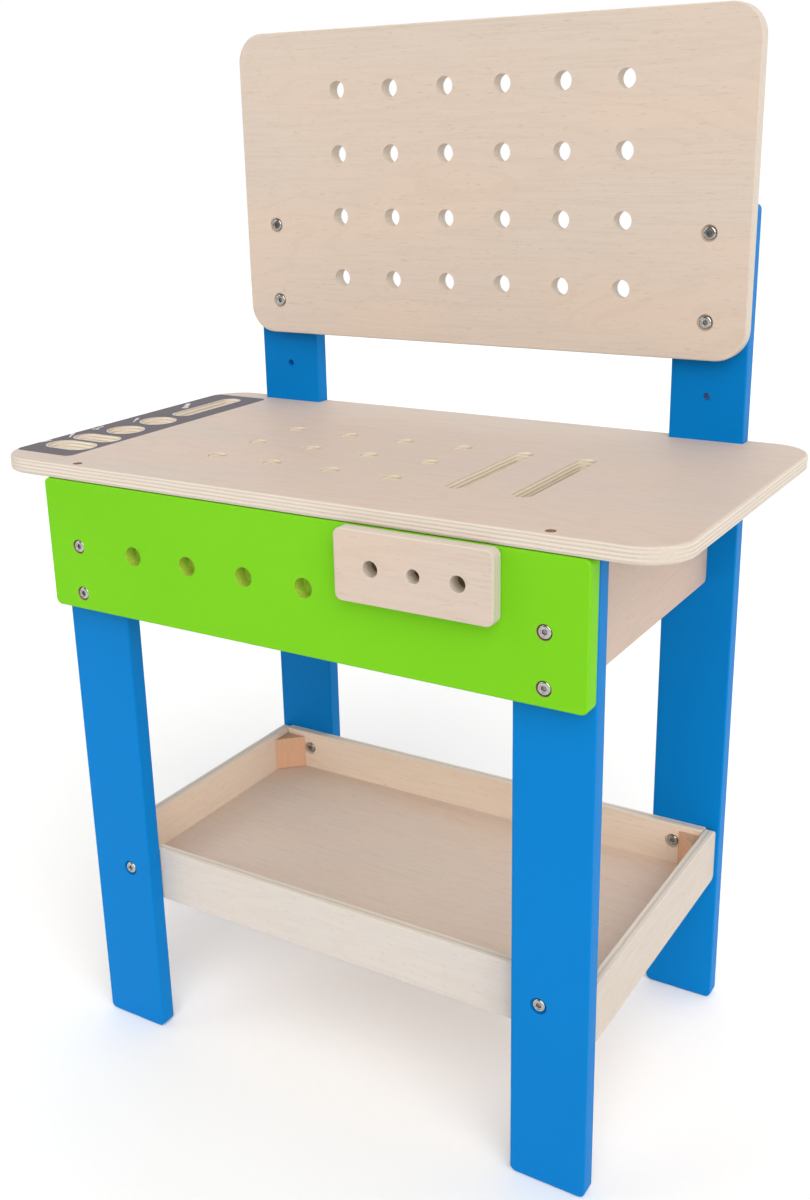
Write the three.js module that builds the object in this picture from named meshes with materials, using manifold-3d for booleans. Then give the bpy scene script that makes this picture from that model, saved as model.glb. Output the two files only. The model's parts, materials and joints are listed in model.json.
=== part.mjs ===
// A child's wooden workbench: birch worktop and pegboard on a frame of painted boards,
// with a vise block on the front board and an open storage tray low between the legs.
// Millimetres. +X is the bench's right, +Y points to its back and +Z is up; the feet stand on Z = 0.

import * as THREE from 'three';
import { mergeVertices } from 'three/addons/utils/BufferGeometryUtils.js';
import Module from 'manifold-3d';

const wasm = await Module();
wasm.setup();

// ---------- driving dimensions ----------

const GAP = 0.3;                  // play between two pieces that touch
const BOARD = 18;                 // legs, posts and aprons
const PLY = 15;                   // worktop and back panel
const TRAY_PLY = 10;              // walls of the tray

const TOP_WIDTH = 688;
const TOP_DEPTH = 369;
const TOP_HEIGHT = 612;           // upper face of the worktop
const TOP_CORNER = 40;

const FRAME_WIDTH = 556;          // over the legs, and along the front board
const LEG_WIDTH = 73;
const POST_HEIGHT = 830;
const APRON_HEIGHT = 126;
const BOARD_CORNER = 6;

const PANEL_WIDTH = 560;
const PANEL_BOTTOM = 690;
const PANEL_TOP = 998;
const PANEL_CORNER = 29;

const BLOCK_WIDTH = 146;
const BLOCK_HEIGHT = 62;
const BLOCK_THICKNESS = 14;
const BLOCK_CENTRE = 131.5;       // to the right of the bench's middle
const BLOCK_CORNER = 6.5;

const TRAY_WIDTH = 549;
const TRAY_BOTTOM = 146.5;
const TRAY_HEIGHT = 57.5;
const TRAY_FLOOR_PLY = 6;
const TRAY_FLOOR_RISE = 6;        // from the walls' lower edge to the floor's underside
const TRAY_GROOVE = 4;            // depth of the groove that holds the floor
const CORNER_BLOCK_LEG = 26;      // sides of the triangular corner blocks
const CORNER_BLOCK_DROP = 6;      // from the tray's rim to the top of a corner block

const PEG_HOLE = 18;              // diameter of every peg hole
const TOP_PITCH = 64.3;           // peg holes and slots of the worktop
const TOP_FIRST_COLUMN = -144;
const TOP_ROWS = [-83.4, -19.1, 45.2];
const SLOT_COLUMNS = [113.2, 176];
const PANEL_PITCH_X = 62.9;
const PANEL_PITCH_Z = 62.5;
const PANEL_TOP_ROW = 939.5;
const APRON_PITCH = 63.4;
const APRON_FIRST_HOLE = -173.5;
const APRON_HOLE_DEPTH = 13.5;    // these holes stop inside the board

// The tool rack: cut-outs in one line near the worktop's left end, all about the line TOOL_COLUMN.
const TOOL_COLUMN = -302;
const TOOL_ACROSS = [             // slots across the line: place along Y, overall length and width
  { y: -114, length: 53, width: 30 },
  { y: -78, length: 52, width: 24 },
];
const TOOL_ROUND = 36;
const TOOL_ROUND_PLACES = [-36, 14];
const TOOL_LONG_ENDS = [55.5, 136.5];
const TOOL_LONG_WIDTH = 21;

const GUIDE_HOLE = 14;            // smooth holes of the vise block
const THREAD_CREST = 12;          // bore inside the wooden thread
const THREAD_ROOT = 14;
const THREAD_PITCH = 4;
const GUIDE_SPACING = 40;
const GUIDE_MIDDLE = 133.5;       // the middle hole, a little right of the block's middle

const BOLT_COLUMN = 241;          // panel and apron bolts, from the bench's middle
const TRAY_BOLT_COLUMN = 231.5;
const TRAY_BOLT_HEIGHT = 184;
const APRON_BOLT_HEIGHTS = [487, 533.5];
const PANEL_BOLT_HEIGHTS = [725, 805];
const SPARE_HOLE_HEIGHT = 654;
const SPARE_HOLE = 7;

const SHANK = 6;
const HEAD = 12.6;
const HEAD_THICKNESS = 2.2;
const COUNTERBORE = 15.6;
const APRON_COUNTERBORE = 13.6;   // the front board's bolts fill their counterbores
const COUNTERBORE_DEPTH = 2.6;
const SOCKET_ACROSS = 4.6;        // corner to corner of the hexagonal socket
const SOCKET_DEPTH = 1.6;
const NUT_SEAT = 28;              // from a rail's end to the middle of its cross nut
const CROSS_NUT = 10;
const CROSS_NUT_LENGTH = 12;
const NUT_RECESS = 1;             // from the rail's inner face to the nut
const SCREW_SHANK = 4;
const SCREW_HEAD = 8;
const SCREW_SINK = 4.5;           // from the worktop's face down to the screw's head
const SCREW_LENGTH = 45;          // below the worktop
const DOWEL = 8;
const DOWEL_LENGTH = 30;
const DOWEL_HEIGHTS = [509, 559];

// ---------- places worked out from them ----------

const TOP_UNDERSIDE = TOP_HEIGHT - PLY;
const APRON_BOTTOM = TOP_UNDERSIDE - APRON_HEIGHT;
const DEPTH = BLOCK_THICKNESS + TOP_DEPTH;
const REAR = DEPTH / 2;
const POST_FRONT = REAR - BOARD;
const PANEL_FRONT = POST_FRONT - PLY;
const APRON_FRONT = BLOCK_THICKNESS - DEPTH / 2;
const LEG_FRONT = APRON_FRONT + BOARD;
const LEG_REAR = LEG_FRONT + BOARD;
const LEG_OUTER = FRAME_WIDTH / 2;
const LEG_INNER = LEG_OUTER - LEG_WIDTH;
const RAIL_OUTER = BOLT_COLUMN + BOARD / 2;
const RAIL_INNER = RAIL_OUTER - BOARD;
const TRAY_OUTER = TRAY_WIDTH / 2;
const TRAY_INNER = TRAY_OUTER - TRAY_PLY;
const TRAY_TOP = TRAY_BOTTOM + TRAY_HEIGHT;
const FLOOR_BOTTOM = TRAY_BOTTOM + TRAY_FLOOR_RISE;
const FLOOR_TOP = FLOOR_BOTTOM + TRAY_FLOOR_PLY;

const HOLE_STEPS = 16;            // corners of a peg hole
const WIDE_HOLE_STEPS = 24;       // corners of the tool rack's round holes
const BORE_STEPS = 8;             // corners of a fastener's bore
const BOLT_STEPS = 12;            // sides of bolts, nuts and counterbores
const SIDES = [['left', -1], ['right', 1]];

// ---------- materials ----------

const paint = (colour) => new THREE.MeshStandardMaterial({ color: colour, roughness: 0.45, metalness: 0 });
const wood = (colour) => new THREE.MeshStandardMaterial({ color: colour, roughness: 0.6, metalness: 0 });
const zinc = () => new THREE.MeshStandardMaterial({ color: '#c9c8c4', roughness: 0.3, metalness: 1 });
const BLUE = '#0083d3';
const GREEN = '#7ed636';
const BIRCH = '#dccab6';
const BEECH = '#c49a76';

// ---------- outlines ----------

// A rectangle with round corners, from (x0, y0) to (x1, y1), walked anticlockwise.
function roundedRectangle(x0, y0, x1, y1, radius) {
  const shape = new THREE.Shape();
  shape.moveTo(x0 + radius, y0);
  shape.lineTo(x1 - radius, y0);
  shape.absarc(x1 - radius, y0 + radius, radius, -Math.PI / 2, 0);
  shape.lineTo(x1, y1 - radius);
  shape.absarc(x1 - radius, y1 - radius, radius, 0, Math.PI / 2);
  shape.lineTo(x0 + radius, y1);
  shape.absarc(x0 + radius, y1 - radius, radius, Math.PI / 2, Math.PI);
  shape.lineTo(x0, y0 + radius);
  shape.absarc(x0 + radius, y0 + radius, radius, Math.PI, Math.PI * 1.5);
  return shape;
}

// A round hole as the corners of a regular polygon.
function roundHole(x, y, diameter, steps = HOLE_STEPS) {
  const points = [];
  for (let i = 0; i < steps; i += 1) {
    const angle = (i / steps) * Math.PI * 2;
    points.push(new THREE.Vector2(x + (Math.cos(angle) * diameter) / 2, y + (Math.sin(angle) * diameter) / 2));
  }
  return new THREE.Path(points);
}

// A slot with round ends between two centres, along X or along Y.
function slotHole(x0, y0, x1, y1, width) {
  const turn = Math.atan2(y1 - y0, x1 - x0);
  const half = HOLE_STEPS / 2;
  const points = [];
  for (const [x, y, start] of [[x1, y1, turn - Math.PI / 2], [x0, y0, turn + Math.PI / 2]]) {
    for (let i = 0; i <= half; i += 1) {
      const angle = start + (i / half) * Math.PI;
      points.push(new THREE.Vector2(x + (Math.cos(angle) * width) / 2, y + (Math.sin(angle) * width) / 2));
    }
  }
  return new THREE.Path(points);
}

function slab(shape, thickness, curveSteps = 6) {
  return new THREE.ExtrudeGeometry(shape, { depth: thickness, bevelEnabled: false, curveSegments: curveSteps });
}

// Lays a slab drawn in X and Z so that its front face is at y and it runs backwards.
function uprightSlab(shape, y, thickness) {
  return slab(shape, thickness).rotateX(Math.PI / 2).translate(0, y + thickness, 0);
}

// Lays a slab drawn in Y and Z so that it runs from x to x + thickness.
function sideSlab(shape, x, thickness) {
  return slab(shape, thickness).rotateY(Math.PI / 2).rotateX(Math.PI / 2).translate(x, 0, 0);
}

// ---------- solids ----------

function solid(geometry) {
  const bare = geometry.clone();
  bare.deleteAttribute('normal');
  bare.deleteAttribute('uv');
  const merged = mergeVertices(bare, 1e-4);
  return new wasm.Manifold(new wasm.Mesh({
    numProp: 3,
    vertProperties: new Float32Array(merged.attributes.position.array),
    triVerts: new Uint32Array(merged.index.array),
  }));
}

function geometryOf(body) {
  const mesh = body.getMesh();
  const geometry = new THREE.BufferGeometry();
  geometry.setAttribute('position', new THREE.BufferAttribute(new Float32Array(mesh.vertProperties), 3));
  geometry.setIndex(new THREE.BufferAttribute(new Uint32Array(mesh.triVerts), 1));
  geometry.computeVertexNormals();
  return geometry;
}

function cut(geometry, cutters) {
  return geometryOf(cutters.reduce((body, cutter) => body.subtract(solid(cutter)), solid(geometry)));
}

// A round bar along an axis, between two places on it given in either order.
function bar(axis, from, to, diameter, at, steps = BOLT_STEPS) {
  const geometry = new THREE.CylinderGeometry(diameter / 2, diameter / 2, Math.abs(to - from), steps);
  geometry.translate(0, (from + to) / 2, 0);
  if (axis === 'x') geometry.rotateZ(-Math.PI / 2);
  if (axis === 'z') geometry.rotateX(Math.PI / 2);
  return geometry.translate(at[0], at[1], at[2]);
}

// A profile of [radius, place along Y] pairs turned about the Y axis.
function turned(profile, steps = BOLT_STEPS) {
  return new THREE.LatheGeometry(profile.map(([radius, y]) => new THREE.Vector2(radius, y)), steps);
}

const group = new THREE.Group();

function place(name, geometry, material) {
  const mesh = new THREE.Mesh(geometry, material);
  mesh.name = name;
  group.add(mesh);
}

// ---------- worktop ----------

function worktop() {
  const front = APRON_FRONT;
  const shape = roundedRectangle(-TOP_WIDTH / 2, front, TOP_WIDTH / 2, REAR, TOP_CORNER);
  for (const y of TOP_ROWS) {
    for (let column = 0; column < 4; column += 1) {
      shape.holes.push(roundHole(TOP_FIRST_COLUMN + column * TOP_PITCH, y, PEG_HOLE));
    }
  }
  for (const x of SLOT_COLUMNS) {
    shape.holes.push(slotHole(x, TOP_ROWS[0], x, TOP_ROWS[2], PEG_HOLE));
  }
  for (const { y, length, width } of TOOL_ACROSS) {
    const reach = (length - width) / 2;
    shape.holes.push(slotHole(TOOL_COLUMN - reach, y, TOOL_COLUMN + reach, y, width));
  }
  for (const y of TOOL_ROUND_PLACES) {
    shape.holes.push(roundHole(TOOL_COLUMN, y, TOOL_ROUND, WIDE_HOLE_STEPS));
  }
  shape.holes.push(slotHole(TOOL_COLUMN, TOOL_LONG_ENDS[0], TOOL_COLUMN, TOOL_LONG_ENDS[1], TOOL_LONG_WIDTH));

  const notches = SIDES.map(([, side]) => new THREE.BoxGeometry(LEG_WIDTH + 2 * GAP, BOARD + 2 * GAP, PLY * 3)
    .translate(side * (LEG_INNER + LEG_WIDTH / 2), REAR - BOARD / 2, TOP_HEIGHT));
  const screws = SIDES.flatMap(([, side]) => {
    const at = [side * BOLT_COLUMN, APRON_FRONT + BOARD / 2, 0];
    return [
      bar('z', TOP_UNDERSIDE - 1, TOP_HEIGHT + 1, SCREW_SHANK + 2 * GAP, at, BORE_STEPS),
      bar('z', TOP_HEIGHT - SCREW_SINK - SCREW_HEAD / 2, TOP_HEIGHT + 1, SCREW_HEAD + 2 * GAP, at),
    ];
  });
  const board = slab(shape, PLY).translate(0, 0, TOP_UNDERSIDE);
  place('worktop', cut(board, [...notches, ...screws]), wood(BIRCH));
}

// ---------- back panel ----------

function backPanel() {
  const shape = roundedRectangle(-PANEL_WIDTH / 2, PANEL_BOTTOM, PANEL_WIDTH / 2, PANEL_TOP, PANEL_CORNER);
  for (let row = 0; row < 4; row += 1) {
    for (let column = 0; column < 6; column += 1) {
      const x = (column - 2.5) * PANEL_PITCH_X;
      shape.holes.push(roundHole(x, PANEL_TOP_ROW - row * PANEL_PITCH_Z, PEG_HOLE));
    }
  }
  const bores = SIDES.flatMap(([, side]) => PANEL_BOLT_HEIGHTS
    .flatMap((z) => headedBore(side * BOLT_COLUMN, z, PANEL_FRONT, PLY)));
  place('back_panel', cut(uprightSlab(shape, PANEL_FRONT, PLY - GAP), bores), wood(BIRCH));
}

// The bore of a bolt with its head sunk in a board's face; into is 1 for the front face, -1 for the rear.
function headedBore(x, z, face, thickness, into = 1, counterbore = COUNTERBORE) {
  const outside = face - into;
  return [
    bar('y', outside, face + into * (thickness + 1), SHANK + 2 * GAP, [x, 0, z], BORE_STEPS),
    bar('y', outside, face + into * COUNTERBORE_DEPTH, counterbore, [x, 0, z]),
  ];
}

// ---------- front board and vise block ----------

function guideHoles() {
  return [-1, 0, 1].map((step) => GUIDE_MIDDLE + step * GUIDE_SPACING);
}

function frontApron() {
  const top = TOP_UNDERSIDE - GAP;
  const shape = roundedRectangle(-LEG_OUTER, APRON_BOTTOM, LEG_OUTER, top, BOARD_CORNER);
  for (const x of guideHoles()) {
    shape.holes.push(roundHole(x, blockMiddle(), GUIDE_HOLE));
  }
  const blindHoles = [0, 1, 2, 3].map((column) => bar('y', APRON_FRONT - 1, APRON_FRONT + APRON_HOLE_DEPTH,
    PEG_HOLE, [APRON_FIRST_HOLE + column * APRON_PITCH, 0, APRON_BOLT_HEIGHTS[1]], HOLE_STEPS));
  const bores = SIDES.flatMap(([, side]) => APRON_BOLT_HEIGHTS
    .flatMap((z) => headedBore(side * BOLT_COLUMN, z, APRON_FRONT, BOARD, 1, APRON_COUNTERBORE)));
  const pilots = SIDES.map(([, side]) => bar('z', TOP_UNDERSIDE - SCREW_LENGTH, TOP_UNDERSIDE,
    SCREW_SHANK + 2 * GAP, [side * BOLT_COLUMN, APRON_FRONT + BOARD / 2, 0], BORE_STEPS));
  const board = uprightSlab(shape, APRON_FRONT, BOARD - GAP);
  place('front_apron', cut(board, [...blindHoles, ...bores, ...pilots]), paint(GREEN));
}

function blockMiddle() {
  return TOP_UNDERSIDE - GAP - BLOCK_HEIGHT / 2;
}

// The middle hole of the vise block: a bore with ring grooves that stand for a coarse wooden thread.
function threadCutter(x, front, back) {
  const middle = bar('y', front - 1, back + 1, THREAD_CREST, [x, 0, blockMiddle()], HOLE_STEPS);
  let cutter = solid(middle);
  for (let y = front + THREAD_PITCH / 2; y < back; y += THREAD_PITCH) {
    const half = THREAD_PITCH / 2 - GAP;
    const groove = turned([[0, y - half], [THREAD_ROOT / 2, y], [0, y + half]], HOLE_STEPS);
    cutter = cutter.add(solid(groove.translate(x, 0, blockMiddle())));
  }
  return cutter;
}

function viseBlock() {
  const front = APRON_FRONT - BLOCK_THICKNESS;
  const back = APRON_FRONT - GAP;
  const half = BLOCK_WIDTH / 2;
  const shape = roundedRectangle(BLOCK_CENTRE - half, blockMiddle() - BLOCK_HEIGHT / 2,
    BLOCK_CENTRE + half, blockMiddle() + BLOCK_HEIGHT / 2, BLOCK_CORNER);
  const [left, middle, right] = guideHoles();
  shape.holes.push(roundHole(left, blockMiddle(), GUIDE_HOLE));
  shape.holes.push(roundHole(right, blockMiddle(), GUIDE_HOLE));
  const body = solid(uprightSlab(shape, front, back - front)).subtract(threadCutter(middle, front, back));
  place('vise_block', geometryOf(body), wood(BIRCH));
}

// ---------- legs and posts ----------

function frontLeg(name, side) {
  const middle = side * (LEG_INNER + LEG_WIDTH / 2);
  const shape = roundedRectangle(middle - LEG_WIDTH / 2, 0, middle + LEG_WIDTH / 2,
    TOP_UNDERSIDE - GAP, BOARD_CORNER);
  for (const z of APRON_BOLT_HEIGHTS) {
    shape.holes.push(roundHole(side * BOLT_COLUMN, z, SHANK + 2 * GAP, BORE_STEPS));
  }
  const bore = headedBore(side * TRAY_BOLT_COLUMN, TRAY_BOLT_HEIGHT, LEG_FRONT, BOARD);
  place(`front_leg_${name}`, cut(uprightSlab(shape, LEG_FRONT, BOARD - GAP), bore), paint(BLUE));
}

function rearPost(name, side) {
  const middle = side * (LEG_INNER + LEG_WIDTH / 2);
  const shape = roundedRectangle(middle - LEG_WIDTH / 2, 0, middle + LEG_WIDTH / 2, POST_HEIGHT, BOARD_CORNER);
  for (const z of PANEL_BOLT_HEIGHTS) {
    shape.holes.push(roundHole(side * BOLT_COLUMN, z, CROSS_NUT + 2 * GAP, BOLT_STEPS));
  }
  shape.holes.push(roundHole(side * BOLT_COLUMN, SPARE_HOLE_HEIGHT, SPARE_HOLE, BOLT_STEPS));
  shape.holes.push(roundHole(side * TRAY_BOLT_COLUMN, TRAY_BOLT_HEIGHT, CROSS_NUT + 2 * GAP, BOLT_STEPS));
  const bores = APRON_BOLT_HEIGHTS.flatMap((z) => headedBore(side * BOLT_COLUMN, z, REAR, BOARD, -1));
  place(`rear_post_${name}`, cut(uprightSlab(shape, POST_FRONT, BOARD), bores), paint(BLUE));
}

// ---------- rails under the worktop ----------

function sideApron(name, side) {
  const front = LEG_REAR + GAP;
  const rear = POST_FRONT - GAP;
  const inner = side > 0 ? RAIL_INNER : -RAIL_OUTER;
  const shape = roundedRectangle(front, APRON_BOTTOM, rear, TOP_UNDERSIDE - GAP, BOARD_CORNER);
  const cutters = [];
  const face = side * RAIL_INNER;
  for (const z of APRON_BOLT_HEIGHTS) {
    const column = [side * BOLT_COLUMN, 0, z];
    for (const [end, inward] of [[front, 1], [rear, -1]]) {
      const nut = end + inward * NUT_SEAT;
      const depth = NUT_RECESS + CROSS_NUT_LENGTH + GAP;
      cutters.push(bar('y', end - inward, nut + inward * CROSS_NUT, SHANK + 2 * GAP, column, BORE_STEPS));
      cutters.push(bar('x', face - side, face + side * depth, CROSS_NUT + 2 * GAP, [0, nut, z]));
    }
  }
  for (const z of DOWEL_HEIGHTS) {
    cutters.push(dowelSocket(face - side, face + side * (DOWEL_LENGTH / 2), z));
  }
  place(`side_apron_${name}`, cut(sideSlab(shape, inner, BOARD), cutters), wood(BIRCH));
}

// The hole for half of a dowel that joins the rear rail to a side rail.
function dowelSocket(from, to, z) {
  return bar('x', from, to, DOWEL + 2 * GAP, [0, POST_FRONT - BOARD / 2, z], BORE_STEPS);
}

function rearApron() {
  const half = RAIL_INNER - GAP;
  const shape = roundedRectangle(-half, APRON_BOTTOM, half, TOP_UNDERSIDE - GAP, BOARD_CORNER / 2);
  const sockets = SIDES.flatMap(([, side]) => DOWEL_HEIGHTS
    .map((z) => dowelSocket(side * (half + 1), side * (half - DOWEL_LENGTH / 2), z)));
  place('rear_apron', cut(uprightSlab(shape, POST_FRONT - BOARD, BOARD - GAP), sockets), wood(BIRCH));
}

function dowels(name, side) {
  DOWEL_HEIGHTS.forEach((z, index) => {
    const level = index === 0 ? 'lower' : 'upper';
    const centre = side * RAIL_INNER;
    const reach = DOWEL_LENGTH / 2 - 2 * GAP;
    const pin = bar('x', centre - reach, centre + reach, DOWEL, [0, POST_FRONT - BOARD / 2, z], BORE_STEPS);
    place(`dowel_${name}_${level}`, pin, wood(BEECH));
  });
}

// ---------- tray ----------

const TRAY_FRONT = LEG_REAR + GAP;
const TRAY_REAR = POST_FRONT - GAP;

function floorGroove() {
  const overlap = TRAY_GROOVE + GAP;
  return new THREE.BoxGeometry(2 * (TRAY_INNER + overlap), TRAY_REAR - TRAY_FRONT - 2 * TRAY_PLY + 2 * overlap,
    TRAY_FLOOR_PLY + 2 * GAP)
    .translate(0, (TRAY_FRONT + TRAY_REAR) / 2, (FLOOR_BOTTOM + FLOOR_TOP) / 2);
}

function traySideWall(name, side) {
  const inner = side > 0 ? TRAY_INNER : -TRAY_OUTER;
  const shape = roundedRectangle(TRAY_FRONT, TRAY_BOTTOM, TRAY_REAR, TRAY_TOP, BOARD_CORNER);
  place(`tray_wall_${name}`, cut(sideSlab(shape, inner, TRAY_PLY), [floorGroove()]), wood(BIRCH));
}

// The front and rear walls stand between the side walls; boreAt makes the cutters at one bolt.
function trayCrossWall(name, front, boreAt) {
  const half = TRAY_INNER - GAP;
  const wall = new THREE.BoxGeometry(2 * half, TRAY_PLY, TRAY_HEIGHT)
    .translate(0, front + TRAY_PLY / 2, TRAY_BOTTOM + TRAY_HEIGHT / 2);
  const bores = SIDES.flatMap(([, side]) => boreAt(side * TRAY_BOLT_COLUMN));
  place(`tray_wall_${name}`, cut(wall, [floorGroove(), ...bores]), wood(BIRCH));
}

function trayFrontWall() {
  trayCrossWall('front', TRAY_FRONT, (x) => [
    bar('y', TRAY_FRONT - 1, TRAY_FRONT + TRAY_PLY + 1, CROSS_NUT + 2 * GAP, [x, 0, TRAY_BOLT_HEIGHT]),
  ]);
}

function trayRearWall() {
  const face = TRAY_REAR - TRAY_PLY;
  trayCrossWall('rear', face, (x) => headedBore(x, TRAY_BOLT_HEIGHT, face, TRAY_PLY));
}

function trayFloor() {
  const front = TRAY_FRONT + TRAY_PLY - TRAY_GROOVE;
  const rear = TRAY_REAR - TRAY_PLY + TRAY_GROOVE;
  const panel = new THREE.BoxGeometry(2 * (TRAY_INNER + TRAY_GROOVE), rear - front, TRAY_FLOOR_PLY);
  place('tray_floor', panel.translate(0, (front + rear) / 2, (FLOOR_BOTTOM + FLOOR_TOP) / 2), wood(BIRCH));
}

// A triangular block glued into an inside corner of the tray.
function cornerBlock(name, side, end) {
  const x = side * (TRAY_INNER - GAP);
  const y = end > 0 ? TRAY_REAR - TRAY_PLY - GAP : TRAY_FRONT + TRAY_PLY + GAP;
  const corners = [[x, y], [x - side * CORNER_BLOCK_LEG, y], [x, y - end * CORNER_BLOCK_LEG]];
  const shape = new THREE.Shape(corners.map(([px, py]) => new THREE.Vector2(px, py)));
  const bottom = FLOOR_TOP + GAP;
  const block = slab(shape, TRAY_TOP - CORNER_BLOCK_DROP - bottom).translate(0, 0, bottom);
  place(`tray_corner_block_${name}`, block, wood(BEECH));
}

// ---------- fasteners ----------

// A furniture bolt: a flat bevelled head with a hexagonal socket, on a plain shank.
// It points along +Y, or along -Y when into is -1, with the head sunk under the face.
function bolt(name, x, z, face, length, into = 1) {
  const seat = COUNTERBORE_DEPTH - HEAD_THICKNESS - 0.1;
  const profile = [
    [0, seat], [HEAD / 2 - 0.9, seat], [HEAD / 2, seat + 0.8], [HEAD / 2, seat + HEAD_THICKNESS],
    [SHANK / 2, seat + HEAD_THICKNESS], [SHANK / 2, length - 1], [SHANK / 2 - 1, length], [0, length],
  ];
  const body = turned(profile);
  const socket = new THREE.CylinderGeometry(SOCKET_ACROSS / 2, SOCKET_ACROSS / 2, 2 * SOCKET_DEPTH, 6)
    .translate(0, seat, 0);
  const geometry = geometryOf(solid(body).subtract(solid(socket)));
  if (into < 0) geometry.rotateX(Math.PI);
  place(name, geometry.translate(x, face, z), zinc());
}

// A round nut pressed into wood behind a bolt: a sleeve along Y around the bolt's end.
function sleeveNut(name, x, z, from, to) {
  const bore = (SHANK + 2 * GAP) / 2;
  const profile = [[bore, from], [CROSS_NUT / 2, from], [CROSS_NUT / 2, to], [bore, to], [bore, from]];
  place(name, turned(profile).translate(x, 0, z), zinc());
}

// A cross nut: a short bar along X with a bore along Y for the bolt.
function crossNut(name, side, y, z) {
  const start = RAIL_INNER + NUT_RECESS;
  const body = bar('x', side * start, side * (start + CROSS_NUT_LENGTH), CROSS_NUT, [0, y, z]);
  const bore = bar('y', y - CROSS_NUT, y + CROSS_NUT, SHANK + 2 * GAP, [side * BOLT_COLUMN, 0, z], BORE_STEPS);
  place(name, cut(body, [bore]), zinc());
}

function fasteners(name, side) {
  const levels = ['lower', 'upper'];
  levels.forEach((level, index) => {
    const z = APRON_BOLT_HEIGHTS[index];
    const column = side * BOLT_COLUMN;
    bolt(`apron_bolt_${name}_${level}`, column, z, APRON_FRONT, 2 * BOARD + NUT_SEAT + 6);
    bolt(`frame_bolt_${name}_${level}`, column, z, REAR, BOARD + NUT_SEAT + 6, -1);
    crossNut(`apron_nut_${name}_${level}`, side, LEG_REAR + GAP + NUT_SEAT, z);
    crossNut(`frame_nut_${name}_${level}`, side, POST_FRONT - GAP - NUT_SEAT, z);
    const height = PANEL_BOLT_HEIGHTS[index];
    bolt(`panel_bolt_${name}_${level}`, column, height, PANEL_FRONT, PLY + BOARD - 3);
    sleeveNut(`panel_nut_${name}_${level}`, column, height, POST_FRONT + GAP, REAR - 1);
  });
  const column = side * TRAY_BOLT_COLUMN;
  bolt(`tray_bolt_front_${name}`, column, TRAY_BOLT_HEIGHT, LEG_FRONT, BOARD + TRAY_PLY - 1);
  sleeveNut(`tray_nut_front_${name}`, column, TRAY_BOLT_HEIGHT, LEG_REAR + 2 * GAP, LEG_REAR + TRAY_PLY);
  bolt(`tray_bolt_rear_${name}`, column, TRAY_BOLT_HEIGHT, TRAY_REAR - TRAY_PLY, BOARD + TRAY_PLY - 3);
  sleeveNut(`tray_nut_rear_${name}`, column, TRAY_BOLT_HEIGHT, POST_FRONT + GAP, REAR - 1);
  screw(`worktop_screw_${name}`, side);
}

// A countersunk wood screw from the worktop down into the front board.
function screw(name, side) {
  const top = TOP_HEIGHT - SCREW_SINK;
  const tip = TOP_UNDERSIDE - SCREW_LENGTH + 2;
  const shank = SCREW_SHANK / 2;
  const head = SCREW_HEAD / 2;
  const rim = top - 0.4;
  const neck = rim - (head - shank);
  const profile = [[0, tip], [shank, tip + 6], [shank, neck], [head, rim], [head, top], [0, top]];
  const body = turned(profile).rotateX(Math.PI / 2);
  place(name, body.translate(side * BOLT_COLUMN, APRON_FRONT + BOARD / 2, 0), zinc());
}

// ---------- the bench ----------

worktop();
backPanel();
frontApron();
viseBlock();
rearApron();
trayFloor();
trayFrontWall();
trayRearWall();
for (const [name, side] of SIDES) {
  frontLeg(name, side);
  rearPost(name, side);
  sideApron(name, side);
  traySideWall(name, side);
  cornerBlock(`front_${name}`, side, -1);
  cornerBlock(`rear_${name}`, side, 1);
  dowels(name, side);
  fasteners(name, side);
}

export default group;
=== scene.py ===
"""A child's wooden workbench in a pale studio.

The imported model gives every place. The boards are cut again here with round holes and eased edges, the
fasteners get their sockets, and the worktop gets its printed tool rack. Everything is in metres.
"""

import json
import math

import bmesh
import bpy
from mathutils import Matrix, Vector


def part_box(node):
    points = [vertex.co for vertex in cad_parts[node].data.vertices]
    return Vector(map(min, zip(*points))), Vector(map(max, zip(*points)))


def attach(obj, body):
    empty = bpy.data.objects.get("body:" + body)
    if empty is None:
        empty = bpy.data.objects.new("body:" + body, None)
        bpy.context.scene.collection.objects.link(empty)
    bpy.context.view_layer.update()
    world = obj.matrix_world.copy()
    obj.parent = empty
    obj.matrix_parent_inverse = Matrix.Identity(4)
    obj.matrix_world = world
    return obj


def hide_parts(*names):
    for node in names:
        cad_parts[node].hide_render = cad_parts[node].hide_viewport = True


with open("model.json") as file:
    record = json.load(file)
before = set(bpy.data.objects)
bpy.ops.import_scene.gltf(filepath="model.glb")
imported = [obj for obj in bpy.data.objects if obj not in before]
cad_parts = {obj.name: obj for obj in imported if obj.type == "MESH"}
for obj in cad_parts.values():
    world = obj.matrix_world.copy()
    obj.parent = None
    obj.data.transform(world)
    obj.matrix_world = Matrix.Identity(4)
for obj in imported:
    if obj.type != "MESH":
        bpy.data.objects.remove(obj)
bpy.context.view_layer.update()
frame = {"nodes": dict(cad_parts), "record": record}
OPENINGS = {item["name"]: item["box_m"] for item in frame["record"]["physics"]["openings"]}

MM = 0.001
X, Y, Z = 0, 1, 2
SIDES = ("left", "right")
ENDS = ("front", "rear")
LEVELS = ("lower", "upper")

# Boards
TOP_CORNER = 40 * MM
TOP_ROUNDING = 3 * MM
PANEL_CORNER = 29 * MM
PANEL_ROUNDING = 1.6 * MM
BOARD_CORNER = 6 * MM
BOARD_ROUNDING = 1.8 * MM
BLOCK_CORNER = 6.5 * MM
BLOCK_ROUNDING = 1.4 * MM
RAIL_ROUNDING = 1.2 * MM
TRAY_ROUNDING = 0.8 * MM
TRAY_END_CORNER = 0.6 * MM
ROUNDING_STEPS = 3
BOARD_PLIES = 9
RAIL_PLIES = 11
TRAY_PLIES = 3
FLOOR_PLIES = 5

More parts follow.
